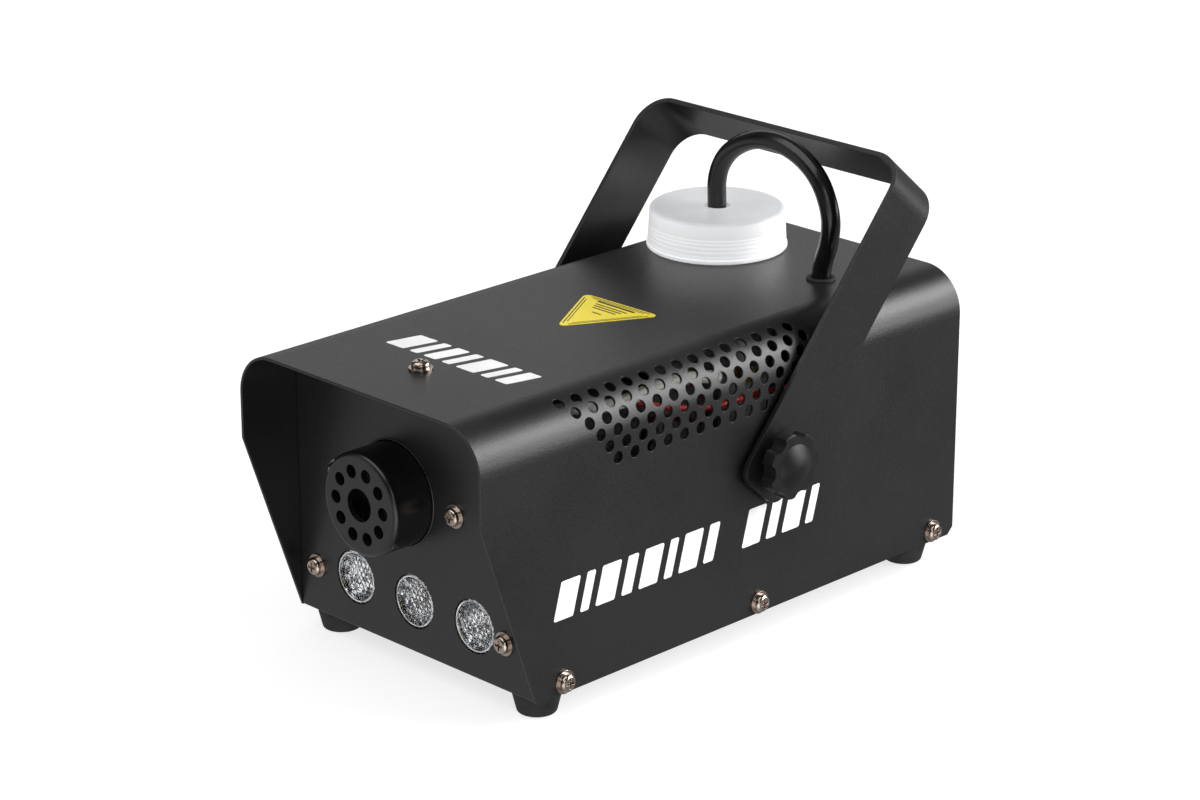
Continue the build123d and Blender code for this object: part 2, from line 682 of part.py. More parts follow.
# ================================================================ handle and knobs
def handle_strap():
    out_x = HANDLE_IN_X + STRAP
    half = STRAP_WIDTH / 2
    outer = block(-out_x, out_x, -half, half, -HANDLE_TAIL, HANDLE_REACH)
    outer = fillet(edges_along(outer, Axis.Y).group_by(Axis.Z)[-1], HANDLE_BEND_R)
    inner_top = HANDLE_REACH - STRAP
    inner = block(-HANDLE_IN_X, HANDLE_IN_X, -half - 1, half + 1, -HANDLE_TAIL - 1, inner_top)
    inner = fillet(edges_along(inner, Axis.Y).group_by(Axis.Z)[-1], HANDLE_BEND_R - STRAP)
    strap = outer - inner
    tips = edges_along(strap, Axis.X).group_by(Axis.Z)[0]
    strap = fillet(tips, 6)
    strap -= crosswise(0, 0, STUD_R + 0.08, -out_x - 2, out_x + 2)
    return Pos(0, PIVOT_Y, PIVOT_Z) * Rot(-HANDLE_LEAN, 0, 0) * strap


def knob(side):
    """Seven-lobed clamping knob for one side, with a hub and a domed centre."""
    rim = 0.6
    hub_to_face = Polyline(
        (KNOB_FACE_X - 2, 0),
        (KNOB_FACE_X - 2, STUD_R),
        (KNOB_X, STUD_R),
        (KNOB_X, KNOB_HUB_R),
        (KNOB_BODY_X, KNOB_HUB_R),
        (KNOB_BODY_X, KNOB_R - rim),
        (KNOB_BODY_X + rim, KNOB_R),
        (KNOB_FACE_X - rim, KNOB_R),
        (KNOB_FACE_X, KNOB_R - rim),
        (KNOB_FACE_X, KNOB_DOME_R),
    )
    dome_mid = (KNOB_FACE_X + 0.72 * (KNOB_TIP_X - KNOB_FACE_X), 0.55 * KNOB_DOME_R)
    dome = ThreePointArc((KNOB_FACE_X, KNOB_DOME_R), dome_mid, (KNOB_TIP_X, 1))
    back = Polyline((KNOB_TIP_X, 1), (KNOB_TIP_X, 0), (KNOB_FACE_X - 2, 0))
    grip = revolve(make_face(hub_to_face + dome + back), Axis.X)
    for notch in range(KNOB_LOBES):
        angle = 2 * pi * (notch + 0.5) / KNOB_LOBES
        at = (KNOB_NOTCH_AT * cos(angle), KNOB_NOTCH_AT * sin(angle))
        grip -= crosswise(*at, KNOB_NOTCH_R, KNOB_BODY_X - 1, KNOB_FACE_X + 1)
    lobes = edges_along(grip, Axis.X).filter_by(lambda edge: edge.center().X > KNOB_BODY_X)
    grip = fillet(lobes, 1.0)
    grip = Pos(0, PIVOT_Y, PIVOT_Z) * grip
    return grip if side > 0 else mirror(grip, about=Plane.YZ)


def knob_stud(side):
    return crosswise(PIVOT_Y, PIVOT_Z, STUD_R, side * 52, side * (KNOB_FACE_X - 2))


def pivot_washers():
    washers = []
    for side in (-1, 1):
        near = (side * (SIDE_X + 0.02), PIVOT_Y, PIVOT_Z)
        far = (side * (HANDLE_IN_X - 0.1), PIVOT_Y, PIVOT_Z)
        washers.append(ring(8.5, STUD_R + 0.15, near, far))
    return washers


def pivot_nuts():
    nuts = []
    for side in (-1, 1):
        start = Plane(origin=(side * 54, PIVOT_Y, PIVOT_Z), z_dir=(side, 0, 0))
        nut = extrude(start * RegularPolygon(5.8, 6), 4.9)
        nuts.append(nut - crosswise(PIVOT_Y, PIVOT_Z, STUD_R + 0.08, side * 50, side * 60))
    return nuts


# ================================================================ rear fittings
def inlet_body():
    face_y = REAR_PANEL_Y + 2.2
    flange = block(INLET_X - 16, INLET_X + 16, REAR_PANEL_Y, face_y, INLET_Z - 19.5, INLET_Z + 19.5)
    flange = fillet(edges_along(flange, Axis.Y), 2.5)
    body = flange + block(INLET_X - 13.5, INLET_X + 13.5, 96, REAR_PANEL_Y, INLET_Z - 17, INLET_Z + 17)
    mouth = block(INLET_X - 12.2, INLET_X + 12.2, 101.5, face_y + 1, SOCKET_Z - 8.2, SOCKET_Z + 8.2)
    body -= chamfer(edges_along(mouth, Axis.Y).group_by(Axis.Z)[-1], 4)
    body -= block(INLET_X - 11.1, INLET_X + 11.1, 103, face_y + 1, DRAWER_Z - 4.5, DRAWER_Z + 4.5)
    for pin in inlet_pins():
        body -= pin
    return body


def inlet_pins():
    pins = []
    for x, z in ((-7, -2), (0, 2), (7, -2)):
        middle = (INLET_X + x, SOCKET_Z + z)
        pins.append(block(middle[0] - 1, middle[0] + 1, 89, 114, middle[1] - 2, middle[1] + 2))
    return pins


def fuse_drawer():
    front_y = REAR_PANEL_Y + 3.6
    across = (INLET_X - 10.8, INLET_X + 10.8)
    tray = block(*across, 104.5, front_y, DRAWER_Z - 4.2, DRAWER_Z + 4.2)
    tray -= block(INLET_X - 10.15, INLET_X + 10.15, 106, 112, DRAWER_Z - 3, DRAWER_Z + 6)
    thumb = (front_y - 1.4, front_y + 1, DRAWER_Z - 6, DRAWER_Z - 1.4)
    return tray - block(INLET_X - 3, INLET_X + 3, *thumb)


def fuse():
    y = 109.0
    z = DRAWER_Z - 0.4
    glass = crosswise(y, z, 2.3, INLET_X - 5.4, INLET_X + 5.4)
    ends = [crosswise(y, z, 2.5, INLET_X + s * 5.4, INLET_X + s * 10) for s in (-1, 1)]
    return glass + ends[0] + ends[1]


def switch_frame():
    bezel = (REAR_PANEL_Y, REAR_PANEL_Y + 1.8, SWITCH_Z - 10.5, SWITCH_Z + 10.5)
    body = block(SWITCH_X - 7.5, SWITCH_X + 7.5, *bezel)
    body = fillet(edges_along(body, Axis.Y), 1.2)
    body += block(SWITCH_X - 6.5, SWITCH_X + 6.5, 102, REAR_PANEL_Y, SWITCH_Z - 9.5, SWITCH_Z + 9.5)
    well = crosswise(ROCKER_PIVOT_Y, SWITCH_Z, ROCKER_R + 0.4, SWITCH_X - 5.3, SWITCH_X + 5.3)
    well += block(SWITCH_X - 5.3, SWITCH_X + 5.3, ROCKER_PIVOT_Y, 120, SWITCH_Z - 8, SWITCH_Z + 8)
    body -= well
    for side in (-1, 1):
        z = SWITCH_Z + side * 5
        body += block(SWITCH_X - 2.4, SWITCH_X + 2.4, 94, 102, z - 0.4, z + 0.4)
    return body


def switch_rocker():
    """Rocker with a shallow V face, resting with its lower half pressed in."""
    body = crosswise(0, 0, ROCKER_R, -5, 5)
    for side in (-1, 1):
        facet = Pos(0, 14.6, 0) * Rot(side * 10, 0, 0) * Pos(0, 0, side * 10) * Box(30, 20, 20)
        body -= facet
    return Pos(SWITCH_X, ROCKER_PIVOT_Y, SWITCH_Z) * Rot(-ROCKER_TILT, 0, 0) * body


def remote_socket():
    face_y = REAR_PANEL_Y + 1.8
    body = lengthwise(REMOTE_X, REMOTE_Z, 11.0, REAR_PANEL_Y, face_y)
    body = fillet(body.edges().group_by(Axis.Y)[-1], 0.6)
    body += lengthwise(REMOTE_X, REMOTE_Z, 8.0, 105, REAR_PANEL_Y)
    body -= lengthwise(REMOTE_X, REMOTE_Z, 6.8, 109, face_y + 1)
    for hole in range(5):
        angle = radians(-90 + 45 * (hole - 2))
        x = REMOTE_X + 4.2 * cos(angle)
        z = REMOTE_Z + 4.2 * sin(angle)
        body -= lengthwise(x, z, 0.8, 106, 110)
    return body


def indicator_lens():
    lens = lengthwise(LAMP_X, LAMP_Z, LAMP_R, 106, REAR_PANEL_Y + 1)
    lens += lengthwise(LAMP_X, LAMP_Z, LAMP_R + 1.2, REAR_PANEL_Y, REAR_PANEL_Y + 1.2)
    dome = lengthwise(LAMP_X, LAMP_Z, LAMP_R - 0.4, REAR_PANEL_Y, REAR_LIMIT_Y)
    return lens + fillet(dome.edges().group_by(Axis.Y)[-1], 3.0)


# ================================================================ electrics
def control_board():
    return block(-52, 16, -76, -16, CONTROL_BOARD_Z, CONTROL_BOARD_Z + CONTROL_BOARD_T)


def board_transformer():
    low = CONTROL_BOARD_Z + CONTROL_BOARD_T
    core = block(-48, -22, -70, -48, low, low + 19)
    winding = block(-45, -25, -74, -44, low + 4, low + 15)
    return core + fillet(edges_along(winding, Axis.Y), 2)


def terminal_block():
    low = CONTROL_BOARD_Z + CONTROL_BOARD_T
    body = block(-46, -16, -30, -19, low, low + 10)
    for pole in range(5):
        x = -43 + 6 * pole
        body -= upright(x, -25, 1.9, low + 6, low + 11)
        body -= lengthwise(x, low + 3, 1.6, -22, -18)
    return body


def red_wires():
    """Two heater leads that run under the right-hand vents."""
    top = NOZZLE_Z + HEATER_HALF_H + 18
    first = [
        (NOZZLE_X + 4, -55, top + 0.1),
        (NOZZLE_X + 4, -55, 105),
        (8, -53, 106),
        (26, -47, 102),
        (40, -36, 95),
        (48, -20, 90),
        (49.5, -2, 86),
        (50, 16, 86),
        (49.6, 36, 84),
        (46, 56, 80),
        (42, 72, 77),
        (35, 81, 78),
        (SWITCH_X, 87, SWITCH_Z + 5),
        (SWITCH_X, 93.9, SWITCH_Z + 5),
    ]
    second = [
        (NOZZLE_X + 4, -28, top + 0.1),
        (NOZZLE_X + 4, -28, 105),
        (10, -22, 105.5),
        (28, -10, 100),
        (40, -2, 93),
        (42, 6, 82),
        (31, 14, 72),
        (17, 21, 66),
        (NOZZLE_X + 12, 21.5, NOZZLE_Z),
        (NOZZLE_X + 12, 13.1, NOZZLE_Z),
    ]
    return [tube("red_wire_1", first, WIRE_R), tube("red_wire_2", second, WIRE_R)]


def white_sleeve():
    """Braided glass sleeve over the thermal fuse, along the right-hand vents."""
    route = [
        (22, -66, 92),
        (36, -58, 97),
        (44, -44, 96),
        (46, -30, 99),
        (44, -12, 98),
        (46, 4, 95),
    ]
    return tube("white_sleeve", route, 2.2)


def black_wires():
    live = [
        (INLET_X - 7, 88.9, SOCKET_Z - 2),
        (INLET_X - 7, 81, SOCKET_Z - 2),
        (17, 70, 27),
        (14.5, 50, 15),
        (16, 28, 12.5),
        (17, 6, 13),
        (16.5, -8, 17),
        (2, -12, 20.5),
        (-17, -11, 21.6),
        (-19, -18.9, 21.6),
    ]
    lead = [
        (SWITCH_X, 93.9, SWITCH_Z - 5),
        (SWITCH_X, 86, SWITCH_Z - 5),
        (20, 76, 58),
        (16, 60, 46),
        (13, 44, 32),
        (12, 30, 21),
        (16.5, 14, 17.5),
        (16.5, -5, 20),
        (4, -8, 27),
        (-23, -8, 24),
        (-25, -18.9, 21.6),
    ]
    return [tube("black_wire_1", live, WIRE_R), tube("black_wire_2", lead, WIRE_R)]


def earth_wire():
    route = [
        (INLET_X, 88.9, SOCKET_Z + 2),
        (INLET_X, 82, SOCKET_Z + 2),
        (42, 76, 29),
        (49, 68, 18),
        (51, 58, 12),
        (51, 48, FLOOR_Z + WIRE_R + 0.1),
    ]
    return tube("earth_wire", route, WIRE_R)


# ================================================================ the parts
PARTS = {
    "top_cover": top_cover,
    "chassis": chassis,
    "cover_screws": cover_screws,
    "panel_screws": panel_screws,
    "rubber_feet": rubber_feet,
    "foot_screws": foot_screws,
    "nozzle_shroud": nozzle_shroud,
    "nozzle_tip": nozzle_tip,
    "led_lenses": led_lenses,
    "led_holders": led_holders,
    "led_board": led_board,
    "led_emitters": led_emitters,
    "board_spacers": board_spacers,
    "heater_bracket": heater_bracket,
    "heater_block": heater_block,
    "heater_insulation": heater_insulation,
    "heater_stand": heater_stand,
    "heater_terminals": heater_terminals,
    "thermostats": thermostats,
    "fluid_fitting": fluid_fitting,
    "pump_tube": pump_tube,
    "pump_plunger": pump_plunger,
    "pump_spring": pump_spring,
    "pump_yoke": pump_yoke,
    "pump_coil": pump_coil,
    "pump_bracket": pump_bracket,
    "pump_fittings": pump_fittings,
    "pressure_hose": pressure_hose,
    "feed_hose": feed_hose,
    "hose_joiner": hose_joiner,
    "bottle": bottle,
    "bottle_cap": bottle_cap,
    "cap_liner": cap_liner,
    "intake_hose": intake_hose,
    "pickup_filter": pickup_filter,
    "hose_grommet": hose_grommet,
    "bottle_cradle": bottle_cradle,
    "handle_strap": handle_strap,
    "pivot_washers": pivot_washers,
    "pivot_nuts": pivot_nuts,
    "inlet_body": inlet_body,
    "inlet_pins": inlet_pins,
    "fuse_drawer": fuse_drawer,
    "fuse": fuse,
    "switch_frame": switch_frame,
    "switch_rocker": switch_rocker,
    "remote_socket": remote_socket,
    "indicator_lens": indicator_lens,
    "control_board": control_board,
    "board_transformer": board_transformer,
    "terminal_block": terminal_block,
    "red_wires": red_wires,
    "white_sleeve": white_sleeve,
    "black_wires": black_wires,
    "earth_wire": earth_wire,
}

os.makedirs("parts", exist_ok=True)
for node, make in PARTS.items():
    save(node, make())
for side_name, side in (("right", 1), ("left", -1)):
    save(f"knob_{side_name}", knob(side))
    save(f"knob_stud_{side_name}", knob_stud(side))
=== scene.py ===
"""Looks for the compact fog machine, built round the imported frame. All lengths are in metres."""
import math

import bmesh
import bpy
from mathutils import Euler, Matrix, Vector


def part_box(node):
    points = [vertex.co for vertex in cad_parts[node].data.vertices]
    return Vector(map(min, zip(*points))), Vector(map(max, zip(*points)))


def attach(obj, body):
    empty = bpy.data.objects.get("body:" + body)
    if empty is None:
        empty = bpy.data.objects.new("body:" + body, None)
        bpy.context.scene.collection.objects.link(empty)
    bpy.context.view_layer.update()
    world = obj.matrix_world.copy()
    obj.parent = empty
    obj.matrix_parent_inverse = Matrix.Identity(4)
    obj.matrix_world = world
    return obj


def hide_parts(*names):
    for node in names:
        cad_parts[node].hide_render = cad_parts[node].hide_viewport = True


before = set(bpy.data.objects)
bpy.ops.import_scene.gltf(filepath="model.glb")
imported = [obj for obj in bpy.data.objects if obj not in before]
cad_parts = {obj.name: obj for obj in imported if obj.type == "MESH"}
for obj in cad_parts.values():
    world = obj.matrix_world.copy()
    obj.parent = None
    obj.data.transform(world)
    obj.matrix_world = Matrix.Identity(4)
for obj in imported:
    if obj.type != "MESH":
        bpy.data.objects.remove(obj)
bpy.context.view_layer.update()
MM = 0.001
CAMERA_PLACE = (0.8347, -0.8386, 0.5070)
CAMERA_TILT = 90 - 20.0364
CAMERA_TURN = 45.1256
CAMERA_LENS_MM = 106.70
HOSE_RADIUS = 3.5 * MM
FILM_THICKNESS = 0.12 * MM
LINE_THICKNESS = 0.06 * MM
INK_THICKNESS = 0.08 * MM
FLOOR_DROP = 0.2 * MM
LAMP_AIM = Vector((0, 0, 0.09))


# ---------------------------------------------------------------- camera
def add_camera():
    data = bpy.data.cameras.new("camera")
    data.sensor_width = 36.0
    data.lens = CAMERA_LENS_MM
    data.clip_start = 0.01
    data.clip_end = 50.0
    camera = bpy.data.objects.new("camera", data)
    camera.location = CAMERA_PLACE
    camera.rotation_euler = Euler((math.radians(CAMERA_TILT), 0, math.radians(CAMERA_TURN)))
    bpy.context.scene.collection.objects.link(camera)
    bpy.context.scene.camera = camera


add_camera()


# ---------------------------------------------------------------- materials
class Graph:
    """A material's node tree, with a Principled shader already in place."""

    def __init__(self, name):
        self.material = bpy.data.materials.new(name)
        self.material.use_nodes = True
        self.tree = self.material.node_tree
        self.shader = self.tree.nodes["Principled BSDF"]
        self.place = self.node("ShaderNodeTexCoord").outputs["Object"]

    def node(self, kind, **settings):
        made = self.tree.nodes.new(kind)
        for key, value in settings.items():
            setattr(made, key, value)
        return made

    def link(self, source, target):
        self.tree.links.new(source, target)

    def noise(self, size, detail=2.0, stretch=(1, 1, 1), roughness=0.5):
        """Noise whose features are about this size in metres, longer along an axis with a small stretch."""
        mapping = self.node("ShaderNodeMapping")
        mapping.inputs["Scale"].default_value = [s / size for s in stretch]
        self.link(self.place, mapping.inputs["Vector"])
        made = self.node("ShaderNodeTexNoise")
        made.inputs["Scale"].default_value = 1.0
        made.inputs["Detail"].default_value = detail
        made.inputs["Roughness"].default_value = roughness
        self.link(mapping.outputs["Vector"], made.inputs["Vector"])
        return made.outputs["Fac"]

    def cells(self, size, feature="F1", output="Distance"):
        mapping = self.node("ShaderNodeMapping")
        mapping.inputs["Scale"].default_value = [1 / size] * 3
        self.link(self.place, mapping.inputs["Vector"])
        made = self.node("ShaderNodeTexVoronoi", feature=feature)
        made.inputs["Scale"].default_value = 1.0
        self.link(mapping.outputs["Vector"], made.inputs["Vector"])
        return made.outputs[output]

    def ramp(self, source, stops):
        made = self.node("ShaderNodeValToRGB")
        elements = made.color_ramp.elements
        while len(elements) < len(stops):
            elements.new(0.5)
        for element, (at, colour) in zip(elements, stops):
            element.position = at
            element.color = (*colour, 1)
        self.link(source, made.inputs["Fac"])
        return made.outputs["Color"]

    def spread(self, source, low, high, start=0.3, end=0.7):
        """A value between low and high that follows a texture."""
        made = self.node("ShaderNodeMapRange")
        made.inputs["From Min"].default_value = start
        made.inputs["From Max"].default_value = end
        made.inputs["To Min"].default_value = low
        made.inputs["To Max"].default_value = high
        self.link(source, made.inputs["Value"])
        return made.outputs["Result"]

    def total(self, first, second, share):
        """first plus share times second."""
        made = self.node("ShaderNodeMath", operation="MULTIPLY_ADD")
        made.inputs[1].default_value = share
        self.link(second, made.inputs[0])
        self.link(first, made.inputs[2])
        return made.outputs[0]

    def relief(self, height, depth, strength=1.0, round_edges=0.0):
        bump = self.node("ShaderNodeBump")
        bump.inputs["Distance"].default_value = depth
        bump.inputs["Strength"].default_value = strength
        self.link(height, bump.inputs["Height"])
        if round_edges:
            bevel = self.node("ShaderNodeBevel", samples=4)
            bevel.inputs["Radius"].default_value = round_edges
            self.link(bevel.outputs["Normal"], bump.inputs["Normal"])
        self.link(bump.outputs["Normal"], self.shader.inputs["Normal"])

    def colour(self, source):
        self.link(source, self.shader.inputs["Base Color"])

    def rough(self, source):
        self.link(source, self.shader.inputs["Roughness"])

    def set(self, **sockets):
        for key, value in sockets.items():
            self.shader.inputs[key.replace("_", " ")].default_value = value
        return self


def finish(name, dark, light, rough, patch=0.02, grain=0.0006, depth=0.00003, metal=0.0,
           edges=0.0, stretch=(1, 1, 1), level=0.5, coat=0.0):
    """A plain finish: colour drifting between two shades, with its own grain, relief and gloss changes."""
    graph = Graph(name)
    broad = graph.noise(patch, detail=4, stretch=stretch)
    fine = graph.noise(grain, detail=3, stretch=stretch)
    mixed = graph.total(broad, fine, 0.35)
    graph.colour(graph.ramp(mixed, [(0.45, dark), (0.85, light)]))
    graph.rough(graph.spread(graph.total(fine, broad, 0.5), *rough, start=0.4, end=1.1))
    graph.relief(fine, depth, round_edges=edges)
    graph.set(Metallic=metal, Specular_IOR_Level=level, Coat_Weight=coat, Coat_Roughness=0.1)
    return graph


def powder_coat():
    """Fine-textured black powder coat, with small pimples and faint dust."""
    graph = Graph("powder_coat")
    broad = graph.noise(0.05, detail=5)
    grain = graph.noise(0.00065, detail=3, roughness=0.6)
    pimples = graph.cells(0.0011, feature="SMOOTH_F1")
    dust = graph.noise(0.0028, detail=6, roughness=0.7)
    shade = graph.total(graph.total(broad, grain, 0.5), dust, 0.35)
    graph.colour(graph.ramp(shade, [(0.55, (0.0040, 0.0041, 0.0044)), (1.0, (0.0105, 0.0107, 0.0113))]))
    graph.rough(graph.spread(graph.total(grain, broad, 0.5), 0.31, 0.42, start=0.5, end=1.0))
    graph.relief(graph.total(grain, pimples, -0.6), 0.00008, strength=0.6, round_edges=0.00035)
    return graph.set(Specular_IOR_Level=0.5).material


def milky_plastic():
    """Translucent blown polyethylene, a little cloudy."""
    graph = Graph("milky_plastic")
    cloud = graph.noise(0.012, detail=4)
    fine = graph.noise(0.0009, detail=3)
    graph.colour(graph.ramp(cloud, [(0.3, (0.86, 0.88, 0.90)), (0.7, (0.95, 0.96, 0.97))]))
    graph.rough(graph.spread(fine, 0.30, 0.44))
    graph.relief(graph.total(fine, cloud, 0.5), 0.00003)
    graph.set(Subsurface_Weight=0.55, Subsurface_Scale=0.004, Transmission_Weight=0.16, IOR=1.45)
    graph.shader.inputs["Subsurface Radius"].default_value = (1.0, 1.05, 1.1)
    return graph.material


def cap_plastic_painted_shade_glow(painted_shade_low, painted_shade_high):
    """The milky plastic of the cap, with painted shade darkening its top plate and a faint painted glow all
    over.
    """
    graph = Graph("cap_plastic_painted_shade_glow")
    height = graph.node("ShaderNodeSeparateXYZ")
    graph.link(graph.place, height.inputs[0])
    cloud = graph.noise(0.010, detail=4)
    fine = graph.noise(0.0009, detail=3)
    # Painted shade: the colour turns darker over the top plate, from just under the top upward.
    plate = graph.spread(height.outputs["Z"], 1.0, 0.0, start=painted_shade_low, end=painted_shade_high)
    shade = graph.total(plate, cloud, 0.25)
    graph.colour(graph.ramp(shade, [(0.1, (0.44, 0.45, 0.47)), (0.95, (0.94, 0.95, 0.97))]))
    graph.rough(graph.spread(fine, 0.28, 0.42))
    graph.relief(graph.total(fine, cloud, 0.5), 0.00003)
    # Painted glow: a faint white emission over the whole cap, though it is no lamp.
    graph.set(Subsurface_Weight=0.5, Subsurface_Scale=0.005, Transmission_Weight=0.15, IOR=1.45,
              Emission_Color=(1, 1, 1, 1), Emission_Strength=0.24)
    graph.shader.inputs["Subsurface Radius"].default_value = (1.0, 1.05, 1.1)
    return graph.material


def clear_acrylic():
    graph = Graph("clear_acrylic")
    haze = graph.noise(0.002, detail=3)
    graph.colour(graph.ramp(haze, [(0.3, (0.93, 0.95, 0.97)), (0.7, (0.99, 0.99, 1.0))]))
    graph.rough(graph.spread(haze, 0.0, 0.05))
    graph.relief(graph.cells(0.0014), 0.00010)
    return graph.set(Transmission_Weight=1.0, IOR=1.49).material


def mirror_bowl():
    """Vacuum-metallised reflector, in small facets, with painted reflections on them."""
    graph = Graph("mirror_bowl")
    facets = graph.cells(0.0016, output="Color")
    # Painted reflections: each facet is coloured near black or near white, standing in for the dark and
    # bright surroundings it mirrors.
    graph.colour(graph.ramp(facets, [(0.50, (0.006, 0.006, 0.007)), (0.70, (0.95, 0.96, 0.98))]))
    graph.rough(graph.spread(graph.noise(0.003), 0.06, 0.18))
    graph.relief(graph.cells(0.0016), 0.0004)
    return graph.set(Metallic=1.0).material


def striped_wire(name, base, stripe):
    """Earth wire: one colour with a lengthwise stripe of another, broken by the wire's twist."""
    graph = Graph(name)
    wave = graph.node("ShaderNodeTexWave", wave_type="BANDS", bands_direction="DIAGONAL")
    wave.inputs["Scale"].default_value = 90.0
    wave.inputs["Distortion"].default_value = 0.6
    graph.link(graph.place, wave.inputs["Vector"])
    graph.colour(graph.ramp(wave.outputs["Fac"], [(0.45, base), (0.55, stripe)]))
    fine = graph.noise(0.0006)
    graph.rough(graph.spread(fine, 0.35, 0.5))
    graph.relief(fine, 0.00002)
    return graph.material


def braided_sleeve():
    """Glass-fibre sleeve: two crossing families of fine strands."""
    graph = Graph("braided_sleeve")
    strands = []
    for direction in ("X", "Z"):
        wave = graph.node("ShaderNodeTexWave", wave_type="BANDS", bands_direction=direction)
        wave.inputs["Scale"].default_value = 260.0
        wave.inputs["Distortion"].default_value = 1.5
        graph.link(graph.place, wave.inputs["Vector"])
        strands.append(wave.outputs["Fac"])
    weave = graph.total(strands[0], strands[1], 1.0)
    graph.colour(graph.ramp(graph.noise(0.004), [(0.3, (0.66, 0.63, 0.56)), (0.7, (0.83, 0.81, 0.76))]))
    graph.rough(graph.spread(graph.noise(0.001), 0.6, 0.8))
    graph.relief(weave, 0.00015)
    return graph.material


def wool_blanket():
    graph = Graph("wool_blanket")
    fibre = graph.noise(0.0015, detail=8, stretch=(1, 0.25, 1), roughness=0.7)
    clump = graph.noise(0.006, detail=6)
    # Painted shade: the wool is coloured dark, for the inside of the case seen through the vents.
    graph.colour(graph.ramp(clump, [(0.3, (0.045, 0.042, 0.037)), (0.7, (0.13, 0.122, 0.108))]))
    graph.rough(graph.spread(fibre, 0.8, 0.95))
    graph.relief(graph.total(fibre, clump, 0.8), 0.0006)
    return graph.material


def wound_coil():
    """The pump coil's taped winding: turns show as fine rings through the tape."""
    graph = Graph("wound_coil")
    wave = graph.node("ShaderNodeTexWave", wave_type="BANDS", bands_direction="Z")
    wave.inputs["Scale"].default_value = 420.0
    wave.inputs["Distortion"].default_value = 0.3
    graph.link(graph.place, wave.inputs["Vector"])
    tape = graph.noise(0.004, detail=4)
    graph.colour(graph.ramp(tape, [(0.3, (0.16, 0.010, 0.008)), (0.7, (0.26, 0.018, 0.012))]))
    graph.rough(graph.spread(tape, 0.32, 0.5))
    graph.relief(wave.outputs["Fac"], 0.00018)
    return graph.material


def circuit_board():
    """Solder mask with traces just visible under it, and bright pads."""
    graph = Graph("circuit_board")
    brick = graph.node("ShaderNodeTexBrick", offset=0.37, squash=1.6)
    brick.inputs["Scale"].default_value = 240.0
    brick.inputs["Mortar Size"].default_value = 0.09
    brick.inputs["Color1"].default_value = (0.010, 0.105, 0.040, 1)
    brick.inputs["Color2"].default_value = (0.014, 0.130, 0.052, 1)
    brick.inputs["Mortar"].default_value = (0.030, 0.210, 0.085, 1)
    graph.link(graph.place, brick.inputs["Vector"])
    pads = graph.cells(0.0052)
    mask = graph.spread(pads, 1.0, 0.0, start=0.13, end=0.16)
    blend = graph.node("ShaderNodeMixRGB")
    blend.inputs["Color2"].default_value = (0.60, 0.57, 0.50, 1)
    graph.link(mask, blend.inputs["Fac"])
    graph.link(brick.outputs["Color"], blend.inputs["Color1"])
    graph.colour(blend.outputs["Color"])
    graph.rough(graph.spread(pads, 0.25, 0.45, start=0.1, end=0.6))
    graph.relief(brick.outputs["Fac"], 0.00008)
    return graph.material


